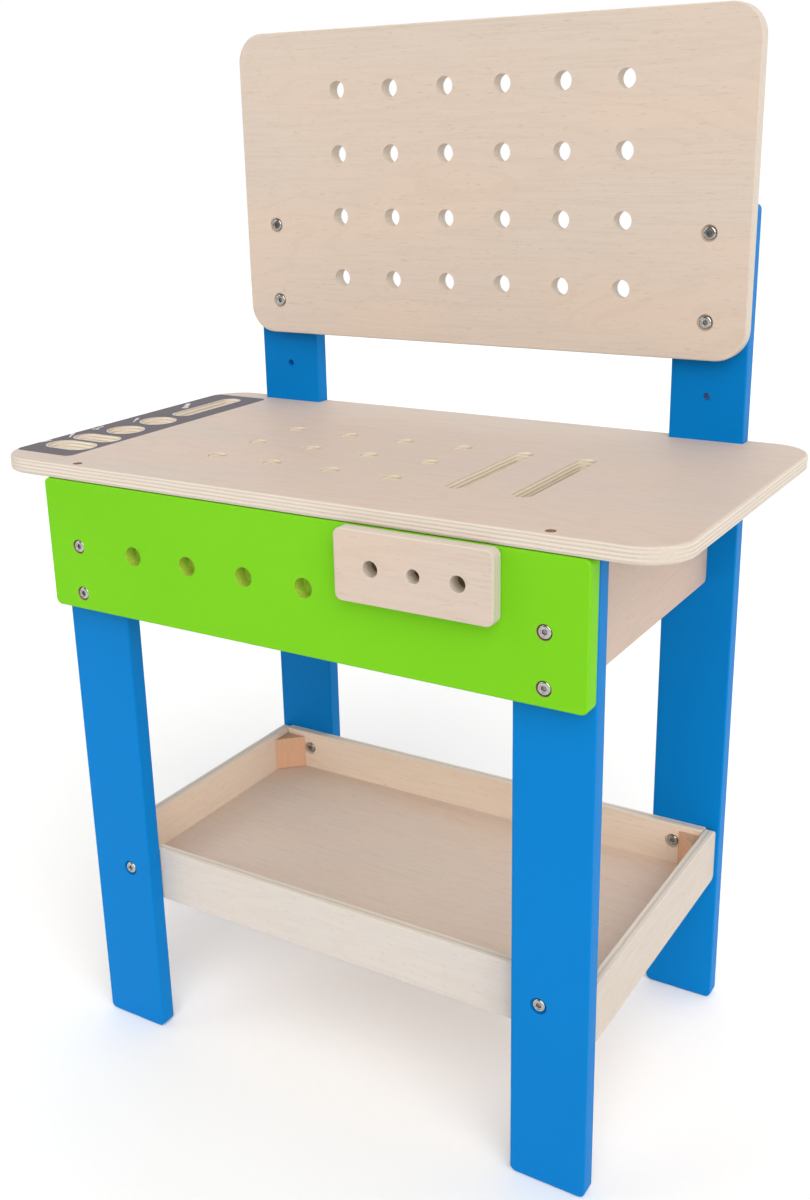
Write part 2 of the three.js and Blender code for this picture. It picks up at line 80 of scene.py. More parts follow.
# Widths of the broken edges
RIM = 0.5 * MM
PAINTED_RIM = 0.8 * MM
FINE_RIM = 0.4 * MM
CORNER_BLOCK_RIM = 0.7 * MM
HEAD_RIM = 0.25 * MM
NUT_RIM = 0.3 * MM
SCREW_RIM = 0.15 * MM

# Holes and slots
PEG_HOLE = 18 * MM
PANEL_PITCH = (62.9 * MM, 62.5 * MM)
PANEL_HOLES = (6, 4)     # columns and rows
PANEL_TOP_MARGIN = 58.5 * MM
SLOT_SIZE = (18 * MM, 146.6 * MM)
TOOL_HOLES = {           # overall sizes along X and Y
    "tool_hole_front_wide": (53 * MM, 30 * MM),
    "tool_hole_front_narrow": (52 * MM, 24 * MM),
    "tool_hole_round_front": (36 * MM, 36 * MM),
    "tool_hole_round_rear": (36 * MM, 36 * MM),
    "tool_slot_rear": (21 * MM, 102 * MM),
}
NOTCH_GAP = 0.3 * MM     # between a post and the worktop's notch for it
HOLE_END = 0.3 * MM      # how much deeper a blind hole is than its stated opening
SPARE_HOLE = 7 * MM
SPARE_HOLE_DROP = 71 * MM
PAST = 5 * MM            # how far a cutter runs past the wood
FULLY_ROUND = 0.999      # a bevel stays this much inside half the width
NEARLY_ZERO = 1e-6

# The vise block's guide holes and threaded hole
GUIDE_HOLE = 14 * MM
THREAD_CREST = 12 * MM
THREAD_DEPTH = 1 * MM
THREAD_PITCH = 3.2 * MM
THREAD_OVERLAP = 0.5 * MM
THREAD_MOUTH = 0.84      # of the pitch
THREAD_ROOT = 0.12       # of the mouth
THREAD_STEPS = 32

# Bolts, nuts and screws
BOLT = 6 * MM
BOLT_BORE = 6.6 * MM
HEAD = 12.6 * MM
HEAD_THICKNESS = 2.2 * MM
HEAD_SINK = 0.3 * MM     # from the board's face down to the head
HEAD_ROUNDING = 2.05 * MM
HEAD_DISH = 7.6 * MM
HEAD_DISH_DEPTH = 0.5 * MM
COUNTERBORE = 15.6 * MM
SNUG_COUNTERBORE = 13.6 * MM
COUNTERBORE_DEPTH = 2.6 * MM
SOCKET_ACROSS = 5.4 * MM
SOCKET_DEPTH = 1.8 * MM
NUT = 10 * MM
NUT_BORE = 10.6 * MM
NUT_BORE_DEPTH = 13.6 * MM
SCREW = 4 * MM
SCREW_BORE = 4.6 * MM
SCREW_HEAD = 8 * MM
SCREW_HEAD_THICKNESS = 1.6 * MM
SCREW_RECESS = 8.6 * MM
SCREW_RECESS_DEPTH = 3 * MM    # below the top of the head
SCREW_SLOT = (2.4 * MM, 0.6 * MM)   # half its length and half its width
SCREW_SLOT_DEPTH = 1.2 * MM

# The printed tool rack
PRINT_FILM = 0.1 * MM
OUTLINE = 1 * MM         # width of the rack's white outlines
RACK_REACH = 74.5 * MM   # from the worktop's end to the band's far side
RACK_FRONT_MARGIN = 26 * MM
RACK_REAR_MARGIN = 28.5 * MM
RACK_CORNER = 8 * MM
RACK_BAR_CORNER = 0.3    # of a bar's smaller side
# Each picture is the tool hole that it stands beside, its place from that hole's centre in millimetres, its
# turn in degrees, and its bars, each as place along and across the tool, length and width in millimetres.
RACK_PICTURES = {
    "pencil": ("tool_hole_front_wide", (-37, 2), 75, [(0, 0, 13, 3.4)]),
    "chisel": ("tool_hole_front_narrow", (-34, -1), -57, [(-4, 0, 12, 3), (6, 0, 10, 1.8)]),
    "hammer": ("tool_hole_round_front", (-33, -4), -80, [(0, 0, 16, 1.8), (7, 0, 3.4, 8)]),
    "driver": ("tool_hole_round_rear", (-25, -7), -62, [(-5, 0, 10, 3.2), (5, 0, 12, 1.5)]),
    "saw": ("tool_slot_rear", (-25.5, -5), -60, [(-3, 0, 22, 5), (9, 0, 7, 7)]),
}

# Each veneer is its tone and where in the wood's pattern it is cut from
WORKTOP_VENEER = ("#c6b7ab", 0)
PANEL_VENEER = ("#cebfb1", 3.1)
BLOCK_VENEER = ("#c9b8aa", 1.7)
RAIL_VENEERS = {"left": ("#c4b1a3", 8.2), "right": ("#c4b1a3", 5.3), "rear": ("#c4b1a3", 9.4)}
# The tray's walls are one plywood; their tones differ as painted light and shade: the rear and left walls
# painted lighter and warmer, the front and right walls darker and greyer
TRAY_LIT_AND_SHADED_VENEERS = {"front": ("#cac3bc", 11.9), "rear": ("#eddac6", 14.1),
                "left": ("#eddac6", 17.4), "right": ("#c6bbaf", 19.6)}
FLOOR_VENEER = ("#d8c5b6", 22.7)
CORNER_BLOCK_VENEER = ("#e2b594", 2.2)
OUTER_EDGES = ("#dacec1", "#d3c7b8")
# The edge tones inside the worktop's holes and slots are lighter than the outer edges: painted light, as if
# the holes were well lit inside
PAINTED_LIGHT_HOLE_EDGES = ("#efe2cb", "#e6d6bb")

# The studio: each light is its direction, the cosines where it begins and is full, and its strength
KEY_LIGHT = (Vector((0.541, -0.601, 0.588)), 0.76, 0.92, 3.05)
SIDE_LIGHT = (Vector((-0.82, -0.41, 0.4)), 0.90, 0.95, 1.8)
ROOM_WHITE = 1.02
ROOM_DIM = 0.22
ROOM_CHANGE = (-0.15, 0.3)    # how far back a direction points where the room begins and ends to brighten
FLOOR_SIZE = 12
FLOOR_DROP = 0.5 * MM

# The camera, in metres, degrees, millimetres of lens, and shares of the picture
CAMERA_PLACE = (0.64914, -1.04542, 0.89770)
CAMERA_TURN = 31.80
CAMERA_TILT = 18.11
CAMERA_ROLL = -1.31
CAMERA_LENS = 40.19
CAMERA_SENSOR = 36
CAMERA_SHIFT = (0.0063, -0.0248)


# ---------- modelling ----------

def deselect():
    if bpy.context.object and bpy.context.object.mode != "OBJECT":
        bpy.ops.object.mode_set(mode="OBJECT")
    bpy.ops.object.select_all(action="DESELECT")


def settle(piece, name):
    """Names the selected new piece and puts its place into its mesh."""
    piece.name = name
    piece.data.name = name
    bpy.ops.object.transform_apply(location=True, rotation=True, scale=True)
    return piece


def pick_edges(piece, wanted):
    """Opens edit mode with just those edges selected whose two ends satisfy wanted."""
    bpy.ops.object.mode_set(mode="EDIT")
    bpy.ops.mesh.select_mode(type="EDGE")
    bpy.ops.mesh.select_all(action="DESELECT")
    shape = bmesh.from_edit_mesh(piece.data)
    for edge in shape.edges:
        edge.select_set(wanted(edge.verts[0].co, edge.verts[1].co))
    bmesh.update_edit_mesh(piece.data)


def join(pieces):
    """Makes the pieces one, under the first one's name."""
    deselect()
    for piece in pieces:
        piece.select_set(True)
    bpy.context.view_layer.objects.active = pieces[0]
    if len(pieces) > 1:
        bpy.ops.object.join()
    return bpy.context.object


def board(name, low, high, thin, corner, rounding, steps=8):
    """A board between two corners of its box: thin is the axis of its thickness, corner the radius of its
    four corners, and rounding the radius of the edges round both faces."""
    deselect()
    low, high = Vector(low), Vector(high)
    bpy.ops.mesh.primitive_cube_add(size=1, location=(low + high) / 2, scale=high - low)
    piece = settle(bpy.context.object, name)
    flat = [axis for axis in (X, Y, Z) if axis != thin]
    if corner:
        pick_edges(piece, lambda a, b: all(abs(a[axis] - b[axis]) < NEARLY_ZERO for axis in flat))
        bpy.ops.mesh.bevel(offset=corner, segments=steps, affect="EDGES")
    if rounding:
        pick_edges(piece, lambda a, b: abs(a[thin] - b[thin]) < NEARLY_ZERO)
        bpy.ops.mesh.bevel(offset=rounding, segments=ROUNDING_STEPS, affect="EDGES")
    bpy.ops.object.mode_set(mode="OBJECT")
    return piece


def apply_modifier(piece, modifier):
    deselect()
    piece.select_set(True)
    bpy.context.view_layer.objects.active = piece
    bpy.ops.object.modifier_apply(modifier=modifier.name)


def cut(piece, cutters, lining=None):
    """Takes the cutters, which don't touch one another, out of the piece. A lining is the material that
    the new inside faces get; the piece then already has its own."""
    tool = join(cutters)
    modifier = piece.modifiers.new("cut", "BOOLEAN")
    modifier.operation = "DIFFERENCE"
    modifier.solver = "EXACT"
    modifier.object = tool
    if lining:
        tool.data.materials.append(lining)
        modifier.material_mode = "TRANSFER"
    apply_modifier(piece, modifier)
    bpy.data.objects.remove(tool)


def rod(axis, place, diameter, start, end, sides=48):
    """A round bar along an axis from start to end, through the given place."""
    deselect()
    middle = Vector(place)
    middle[axis] = (start + end) / 2
    turn = {X: (0, math.pi / 2, 0), Y: (math.pi / 2, 0, 0), Z: (0, 0, 0)}[axis]
    bpy.ops.mesh.primitive_cylinder_add(
        vertices=sides, radius=diameter / 2, depth=abs(end - start), location=middle, rotation=turn)
    return settle(bpy.context.object, "rod")


def drill(piece, axis, places, diameter, start, end, lining=None):
    """Bores a round hole along an axis through each place, from start to end."""
    cut(piece, [rod(axis, place, diameter, start, end) for place in places], lining)


def soften(piece, width=RIM):
    """Breaks every edge that is still sharp and makes the flat faces shade flat."""
    modifier = piece.modifiers.new("edges", "BEVEL")
    modifier.width = width
    modifier.segments = 2
    modifier.limit_method = "ANGLE"
    modifier.angle_limit = math.radians(50)
    apply_modifier(piece, modifier)
    bpy.ops.object.shade_smooth_by_angle(angle=math.radians(45))
    modifier = piece.modifiers.new("faces", "WEIGHTED_NORMAL")
    modifier.keep_sharp = True
    apply_modifier(piece, modifier)
    return piece


def finish(piece, material, slot, *nodes):
    """Gives the piece its finish, unless it has one, and lets it stand for its CAD nodes."""
    if not piece.data.materials:
        piece.data.materials.append(material)
    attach(piece, "root")
    if nodes:
        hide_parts(*nodes)
    return piece


def middle(box):
    low, high = box
    return (Vector(low) + Vector(high)) / 2


def openings(start):
    """The boxes of the stated openings whose names begin like that."""
    return [box for name, box in OPENINGS.items() if name.startswith(start)]


def centres(*names):
    return [middle(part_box(name)) for name in names]


# ---------- materials ----------

def colour(code):
    """A linear colour from an sRGB hex value."""
    parts = [int(code[i:i + 2], 16) / 255 for i in (1, 3, 5)]
    linear = [part / 12.92 if part <= 0.04045 else ((part + 0.055) / 1.055) ** 2.4 for part in parts]
    return (*linear, 1)


def node(tree, kind, inputs=None, **settings):
    """Adds a node with its settings. An input is a value, or the socket that it is linked from."""
    made = tree.nodes.new(kind)
    for key, value in settings.items():
        setattr(made, key, value)
    for key, value in (inputs or {}).items():
        if isinstance(value, bpy.types.NodeSocket):
            tree.links.new(value, made.inputs[key])
        else:
            made.inputs[key].default_value = value
    return made


def new_material(name):
    material = bpy.data.materials.new(name)
    material.use_nodes = True
    material.node_tree.nodes.clear()
    return material, material.node_tree


def output(tree, shader):
    node(tree, "ShaderNodeOutputMaterial", {"Surface": shader.outputs[0]})


def stretched_noise(tree, place, sizes, detail, roughness=0.5, distortion=0.0):
    """Noise whose features have the given sizes along X, Y and Z."""
    scaled = node(tree, "ShaderNodeVectorMath",
                  {0: place, 1: [1 / size for size in sizes]}, operation="MULTIPLY")
    return node(tree, "ShaderNodeTexNoise", {
        "Vector": scaled.outputs[0], "Scale": 1, "Detail": detail,
        "Roughness": roughness, "Distortion": distortion}).outputs[0]


def ramp(tree, value, low, high, start=0.0, end=1.0):
    """Goes smoothly from start to end while the value goes from low to high."""
    return node(tree, "ShaderNodeMapRange",
                {0: value, 1: low, 2: high, 3: start, 4: end}, interpolation_type="SMOOTHSTEP").outputs[0]


def calculate(tree, operation, first, second=0.0):
    return node(tree, "ShaderNodeMath", {0: first, 1: second}, operation=operation).outputs[0]


def blend(tree, amount, first, second, blend_type="MIX"):
    return node(tree, "ShaderNodeMix", {0: amount, 6: first, 7: second},
                data_type="RGBA", blend_type=blend_type).outputs[2]


def shade(tone, red, green, blue):
    """A tone with each channel multiplied."""
    return (tone[0] * red, tone[1] * green, tone[2] * blue, 1)


def birch_veneer(tree, place, grain, across, seed, tone):
    """The face of rotary-cut birch: silky fibre streaks, faint growth-ring contours, short pore flecks
    and slow drifts of tone. Returns its colour and the streaks, for the relief."""
    shifted = node(tree, "ShaderNodeVectorMath", {0: place, 1: (seed, seed * 0.7, seed * 0.3)}).outputs[0]

    def sizes(along_mm, across_mm):
        found = [across_mm * MM] * 3
        found[grain] = along_mm * MM
        return found

    streaks = stretched_noise(tree, shifted, sizes(60, 1.9), 4, 0.6)
    drift = stretched_noise(tree, shifted, sizes(300, 90), 2)
    contour = stretched_noise(tree, shifted, sizes(420, 90), 3, 0.45, 0.3)
    waves = calculate(tree, "SINE", calculate(tree, "MULTIPLY", contour, 110))
    rings = calculate(tree, "MULTIPLY", ramp(tree, waves, 0.3, 1), ramp(tree, drift, 0.4, 0.6))
    flecks = ramp(tree, stretched_noise(tree, shifted, sizes(11, 1.5), 2), 0.60, 0.74)
    dark = shade(tone, 0.84, 0.79, 0.75)
    warm = shade(tone, 1.05, 0.99, 0.95)
    face = blend(tree, ramp(tree, streaks, 0.38, 0.72, 0, 0.4), tone, dark)
    face = blend(tree, ramp(tree, drift, 0.35, 0.68, 0, 0.8), face, warm)
    face = blend(tree, calculate(tree, "MULTIPLY", rings, 0.17), face, dark)
    face = blend(tree, calculate(tree, "MULTIPLY", flecks, 0.7), face, dark)
    return face, streaks


def birch_plywood(name, grain, thin, box, plies, veneer, pale=OUTER_EDGES):
    """Birch plywood, sanded and clear lacquered. The faces are one veneer, and every cut edge shows the
    plies: broad pale ones where the fibres run along the edge, and thin greyer, grainy ones where they
    are cut across."""
    material, tree = new_material(name)
    low, high = box
    tone, seed = veneer
    across = ({X, Y, Z} - {grain, thin}).pop()
    spot = node(tree, "ShaderNodeTexCoord")
    face, streaks = birch_veneer(tree, spot.outputs["Object"], grain, across, seed, colour(tone))
    place = node(tree, "ShaderNodeSeparateXYZ", {0: spot.outputs["Object"]})
    facing = node(tree, "ShaderNodeSeparateXYZ", {0: spot.outputs["Normal"]})
    tilt = [calculate(tree, "ABSOLUTE", facing.outputs[axis]) for axis in (X, Y, Z)]
    depth = node(tree, "ShaderNodeMapRange", {0: place.outputs[thin], 1: low[thin], 2: high[thin],
                                              3: -0.5, 4: plies - 0.5}).outputs[0]
    wander = stretched_noise(tree, spot.outputs["Object"], [30 * MM] * 3, 2)
    depth = calculate(tree, "ADD", depth, ramp(tree, wander, 0.2, 0.8, -0.12, 0.12))
    crossed = ramp(tree, calculate(tree, "PINGPONG", depth, 1), 0.45, 0.75)
    end_grain = node(tree, "ShaderNodeMix", {0: crossed, 2: tilt[grain], 3: tilt[across]}).outputs[0]
    on_edge = calculate(tree, "SUBTRACT", 1, calculate(tree, "POWER", tilt[thin], 2))
    speckle = stretched_noise(tree, spot.outputs["Object"], [0.9 * MM] * 3, 2)
    cut_fibres = blend(tree, ramp(tree, speckle, 0.3, 0.7), colour("#c9bcae"), colour("#b8a999"))
    along_edge = blend(tree, ramp(tree, streaks, 0.3, 0.7), colour(pale[0]), colour(pale[1]))
    edge = blend(tree, calculate(tree, "MULTIPLY", end_grain, 0.85), along_edge, cut_fibres)
    surface = blend(tree, ramp(tree, on_edge, 0.25, 0.6), face, edge)
    bump = node(tree, "ShaderNodeBump", {"Strength": 0.2, "Distance": 0.1 * MM, "Height": streaks})
    output(tree, node(tree, "ShaderNodeBsdfPrincipled", {
        "Base Color": surface, "Roughness": ramp(tree, streaks, 0.2, 0.8, 0.48, 0.6), "IOR": 1.5,
        "Specular IOR Level": 0.3, "Normal": bump.outputs[0]}))
    return material


def solid_wood(name, grain, veneer, end_tones):
    """A solid hardwood block, sanded and clear lacquered: straight fibre streaks on the faces along the
    grain, and darker pored end grain on the faces across it."""
    material, tree = new_material(name)
    tone, seed = veneer
    across = (grain + 1) % 3
    spot = node(tree, "ShaderNodeTexCoord")
    face, streaks = birch_veneer(tree, spot.outputs["Object"], grain, across, seed, colour(tone))
    facing = node(tree, "ShaderNodeSeparateXYZ", {0: spot.outputs["Normal"]})
    ends = ramp(tree, calculate(tree, "ABSOLUTE", facing.outputs[grain]), 0.5, 0.9)
    pores = stretched_noise(tree, spot.outputs["Object"], [1.1 * MM] * 3, 3)
    end_face = blend(tree, ramp(tree, pores, 0.35, 0.65), colour(end_tones[0]), colour(end_tones[1]))
    surface = blend(tree, ends, face, end_face)
    bump = node(tree, "ShaderNodeBump", {"Strength": 0.25, "Distance": 0.1 * MM, "Height": streaks})
    output(tree, node(tree, "ShaderNodeBsdfPrincipled", {
        "Base Color": surface, "Roughness": ramp(tree, streaks, 0.2, 0.8, 0.45, 0.6), "IOR": 1.5,
        "Specular IOR Level": 0.3, "Normal": bump.outputs[0]}))
    return material


def sprayed_paint(name, code, deep_code):
    """Water-based paint sprayed on a sanded board: an even satin coat with the fine dimples of spraying,
    a breath of colour drift, and a trace of the wood's fibres underneath."""
    material, tree = new_material(name)
    place = node(tree, "ShaderNodeTexCoord").outputs["Object"]
    drift = stretched_noise(tree, place, [220 * MM] * 3, 2)
    dimples = stretched_noise(tree, place, [2.2 * MM] * 3, 2)
    fibres = stretched_noise(tree, place, [3 * MM, 3 * MM, 90 * MM], 3)
    surface = blend(tree, ramp(tree, drift, 0.3, 0.7, 0, 0.5), colour(code), colour(deep_code))
    relief = calculate(tree, "ADD", dimples, calculate(tree, "MULTIPLY", fibres, 0.6))
    bump = node(tree, "ShaderNodeBump", {"Strength": 0.12, "Distance": 0.1 * MM, "Height": relief})
    output(tree, node(tree, "ShaderNodeBsdfPrincipled", {
        "Base Color": surface, "Roughness": ramp(tree, dimples, 0.2, 0.8, 0.42, 0.5), "IOR": 1.48,
        "Specular IOR Level": 0.07, "Normal": bump.outputs[0]}))
    return material


def bored_wood(name, code, dark_code):
    """Wood inside a drilled hole: torn fibres running across it, and darker patches where the drill has
    scorched it. Given green tones, it carries painted light: green bounced from the painted board round it."""
    material, tree = new_material(name)
    place = node(tree, "ShaderNodeTexCoord").outputs["Object"]
    fibres = stretched_noise(tree, place, [1.2 * MM, 1.2 * MM, 9 * MM], 3)
    scorch = stretched_noise(tree, place, [12 * MM] * 3, 2)
    surface = blend(tree, ramp(tree, fibres, 0.3, 0.7, 0, 0.7), colour(code), colour(dark_code))
    surface = blend(tree, ramp(tree, scorch, 0.45, 0.7, 0, 0.5), surface, colour(dark_code))
    bump = node(tree, "ShaderNodeBump", {"Strength": 0.4, "Distance": 0.2 * MM, "Height": fibres})
    output(tree, node(tree, "ShaderNodeBsdfPrincipled", {
        "Base Color": surface, "Roughness": ramp(tree, fibres, 0.2, 0.8, 0.65, 0.8), "IOR": 1.5,
        "Specular IOR Level": 0.2, "Normal": bump.outputs[0]}))
    return material


def screen_ink(name, code, thin_code):
    """Screen-printed ink on lacquered birch: matt, even, with a few fibres showing where it is thin."""
    material, tree = new_material(name)
    place = node(tree, "ShaderNodeTexCoord").outputs["Object"]
    fibres = stretched_noise(tree, place, [40 * MM, 1.6 * MM, 1.6 * MM], 3)
    surface = blend(tree, ramp(tree, fibres, 0.5, 0.8, 0, 0.5), colour(code), colour(thin_code))
    output(tree, node(tree, "ShaderNodeBsdfPrincipled", {
        "Base Color": surface, "Roughness": ramp(tree, fibres, 0.2, 0.8, 0.55, 0.68), "IOR": 1.5,
        "Specular IOR Level": 0.15}))
    return material


def plated_steel(name, code, cloud_code, smooth, cloudy):
    """Cold-headed steel with a thin plating: mirror-like but slightly cloudy, with fine scuffs."""
    material, tree = new_material(name)
    place = node(tree, "ShaderNodeTexCoord").outputs["Object"]
    cloud = stretched_noise(tree, place, [4 * MM] * 3, 3)
    scuffs = stretched_noise(tree, place, [0.5 * MM, 2 * MM, 3 * MM], 2)
    surface = blend(tree, cloud, colour(code), colour(cloud_code))
    bump = node(tree, "ShaderNodeBump", {"Strength": 0.15, "Distance": 0.05 * MM, "Height": scuffs})
    output(tree, node(tree, "ShaderNodeBsdfPrincipled", {
        "Base Color": surface, "Metallic": 1, "Roughness": ramp(tree, cloud, 0.2, 0.8, smooth, cloudy),
        "Normal": bump.outputs[0]}))
    return material


def studio_sweep(name):
    """Matt pale background card."""
    material, tree = new_material(name)
    place = node(tree, "ShaderNodeTexCoord").outputs["Object"]
    tooth = stretched_noise(tree, place, [3 * MM] * 3, 2)
    surface = blend(tree, tooth, colour("#fafaf9"), colour("#f6f6f5"))
    output(tree, node(tree, "ShaderNodeBsdfPrincipled", {"Base Color": surface, "Roughness": 0.9}))
    return material


BLUE = sprayed_paint("blue_sprayed_paint", "#0076be", "#0071b6")
GREEN = sprayed_paint("green_sprayed_paint", "#74c21c", "#6ebc17")
BORED = bored_wood("bored_wood", "#a98d70", "#7d6148")
# Painted light: bare wood with the green bounce light of the painted board painted into it, brighter and
# greener than the wood
BORE_WITH_PAINTED_GREEN_LIGHT = bored_wood("bored_wood_with_painted_green_bounce_light", "#a4d43c", "#a09c44")
STEEL = plated_steel("zinc_plated_steel", "#c9c8c3", "#9c9b96", 0.1, 0.22)
# Painted shade: the socket's steel is darker than the head's, as if shaded inside the recess
SHADED_SOCKET_STEEL = plated_steel("socket_steel_with_painted_shade", "#9a9893", "#6b6965", 0.15, 0.3)
BLACK_STEEL = plated_steel("black_phosphated_steel", "#2a2826", "#1c1a19", 0.35, 0.5)
INK = screen_ink("grey_screen_ink", "#635d63", "#6f696e")
WHITE_INK = screen_ink("white_screen_ink", "#d3cfcb", "#c2bcb6")
BEECH = solid_wood("beech_corner_wood", Z, CORNER_BLOCK_VENEER, ("#d0a686", "#b08668"))


# ---------- worktop ----------

def worktop():
    low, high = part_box("worktop")
    piece = board("worktop_plywood", low, high, Z, TOP_CORNER, TOP_ROUNDING, steps=16)
    layers = (X, Z, (low, high), BOARD_PLIES, WORKTOP_VENEER)
    plywood = birch_plywood("worktop_birch_plywood", *layers)
    # Painted light: the walls of the holes and slots get the lighter edge tones, as if well lit inside
    painted_light_hole_edges = birch_plywood("worktop_painted_light_hole_edges", *layers, pale=PAINTED_LIGHT_HOLE_EDGES)
    piece.data.materials.append(plywood)
    under, over = low.z - PAST, high.z + PAST
    pegs = [middle(box) for box in openings("worktop_peg_hole")]
    drill(piece, Z, pegs, PEG_HOLE, under, over, painted_light_hole_edges)
    slots = [name for name in OPENINGS if name.startswith("worktop_slot")]
    cut(piece, [hole_cutter(name, SLOT_SIZE, 0, under, over) for name in slots], painted_light_hole_edges)
    tools = [hole_cutter(name, size, 0, under, over) for name, size in TOOL_HOLES.items()]
    cut(piece, tools, painted_light_hole_edges)
    cut(piece, [post_notch(side, under, over) for side in SIDES])
    screws = centres("worktop_screw_left", "worktop_screw_right")
    head_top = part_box("worktop_screw_left")[1].z
    drill(piece, Z, screws, SCREW_BORE, under, over)
    drill(piece, Z, screws, SCREW_RECESS, head_top - SCREW_RECESS_DEPTH, over, BORED)
    soften(piece)
    finish(piece, plywood, "birch", "worktop")


def post_notch(side, under, over):
    """A cutter round a rear post, open at the worktop's rear edge."""
    low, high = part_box(f"rear_post_{side}")
    return board("notch", (low.x - NOTCH_GAP, low.y - NOTCH_GAP, under),
                 (high.x + NOTCH_GAP, high.y + PAST, over), Z, 0, 0)


def hole_cutter(name, size, wider, start, end):
    """A cutter with round ends at one of the worktop's openings, wider all round by the given margin."""
    centre = middle(OPENINGS[name])
    half_x, half_y = size[0] / 2 + wider, size[1] / 2 + wider
    corner = min(half_x, half_y) * FULLY_ROUND
    return board("hole", (centre.x - half_x, centre.y - half_y, start),
                 (centre.x + half_x, centre.y + half_y, end), Z, corner, 0, steps=16)


# ---------- printed tool rack ----------

def tool_rack():
    """A printed band along the worktop's left end, left bare at the tool holes, each with a white outline."""
    low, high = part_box("worktop")
    top = high.z
    under, over = top - PRINT_FILM / 2, top + PRINT_FILM
    band = board("tool_rack_print", (low.x + TOP_ROUNDING, low.y + RACK_FRONT_MARGIN, under),
                 (low.x + RACK_REACH, high.y - RACK_REAR_MARGIN, over), Z, RACK_CORNER, 0)
    cut(band, [hole_cutter(name, size, RIM, top - PAST, top + PAST) for name, size in TOOL_HOLES.items()])
    finish(band, INK, "birch")
    for name, size in TOOL_HOLES.items():
        ring = hole_cutter(name, size, RIM + OUTLINE, under, over + PRINT_FILM)
        ring.name = f"rack_outline_{name}"
        cut(ring, [hole_cutter(name, size, RIM, top - PAST, top + PAST)])
        finish(ring, WHITE_INK, "birch")
    for name, picture in RACK_PICTURES.items():
        rack_picture(name, picture, under, over + PRINT_FILM)


def rack_picture(name, picture, under, over):
    """The plain printed shape of a tool, made of a few bars."""
    hole, offset, turn, bars = picture
    centre = middle(OPENINGS[hole])
    parts = []
    for along, across, length, width in bars:
        low = Vector((along - length / 2, across - width / 2, 0)) * MM
        high = Vector((along + length / 2, across + width / 2, 0)) * MM
        low.z, high.z = under, over
        part = board("bar", low, high, Z, min(length, width) * RACK_BAR_CORNER * MM, 0, steps=4)
        part.rotation_euler = (0, 0, math.radians(turn))
        part.location = (centre.x + offset[X] * MM, centre.y + offset[Y] * MM, 0)
        parts.append(part)
    finish(settle(join(parts), f"rack_picture_{name}"), WHITE_INK, "birch")


# ---------- upright panel, front board, vise block ----------

def back_panel():
    low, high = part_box("back_panel")
    piece = board("peg_panel_plywood", low, high, Y, PANEL_CORNER, PANEL_ROUNDING, steps=14)
    columns, rows = PANEL_HOLES
    places = []
    for row in range(rows):
        for column in range(columns):
            x = (column - (columns - 1) / 2) * PANEL_PITCH[0]
            places.append((x, 0, high.z - PANEL_TOP_MARGIN - row * PANEL_PITCH[1]))
    drill(piece, Y, places, PEG_HOLE, low.y - PAST, high.y + PAST)
    bolt_spots = centres(*(f"panel_bolt_{side}_{level}" for side in SIDES for level in LEVELS))
    sink_bolts(piece, bolt_spots, low.y, high.y)
    soften(piece)
    material = birch_plywood("panel_birch_plywood", X, Y, (low, high), BOARD_PLIES, PANEL_VENEER)
    finish(piece, material, "birch", "back_panel")


def sink_bolts(piece, places, front, back, from_back=False):
    """Bores for bolts, with their heads sunk in the front face or in the back face."""
    drill(piece, Y, places, BOLT_BORE, front - PAST, back + PAST)
    if from_back:
        drill(piece, Y, places, COUNTERBORE, back - COUNTERBORE_DEPTH, back + PAST)
    else:
        drill(piece, Y, places, COUNTERBORE, front - PAST, front + COUNTERBORE_DEPTH)


def front_board():
    low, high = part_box("front_apron")
    piece = board("front_board_painted", low, high, Y, BOARD_CORNER, BOARD_ROUNDING)
    piece.data.materials.append(GREEN)
    front, back = low.y - PAST, high.y + PAST
    pegs = openings("front_board_hole")
    blind_end = pegs[0][1][Y] + HOLE_END
    # The blind peg holes are lined with bare wood carrying painted green bounce light
    drill(piece, Y, [middle(box) for box in pegs], PEG_HOLE, front, blind_end, BORE_WITH_PAINTED_GREEN_LIGHT)
    drill(piece, Y, [middle(box) for box in openings("vise_hole")], GUIDE_HOLE, front, back, BORED)
    bolt_spots = centres(*(f"apron_bolt_{side}_{level}" for side in SIDES for level in LEVELS))
    drill(piece, Y, bolt_spots, BOLT_BORE, front, back, BORED)
    drill(piece, Y, bolt_spots, SNUG_COUNTERBORE, front, low.y + COUNTERBORE_DEPTH, BORED)
    soften(piece, FINE_RIM)
    finish(piece, GREEN, "green_paint", "front_apron")


def vise_block():
    low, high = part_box("vise_block")
    piece = board("vise_block_birch", low, high, Y, BLOCK_CORNER, BLOCK_ROUNDING, steps=10)
    front, back = low.y - PAST, high.y + PAST
    drill(piece, Y, [middle(OPENINGS[f"vise_hole_{side}"]) for side in SIDES], GUIDE_HOLE, front, back)
    screw_hole = middle(OPENINGS["vise_hole_middle"])
    drill(piece, Y, [screw_hole], THREAD_CREST, front, back)
    cut(piece, [thread_tap(screw_hole, low.y - THREAD_PITCH, high.y + THREAD_PITCH)])
    soften(piece, FINE_RIM)
    material = birch_plywood("vise_block_birch_plywood", X, Y, (low, high), BOARD_PLIES, BLOCK_VENEER)
    finish(piece, material, "birch", "vise_block")


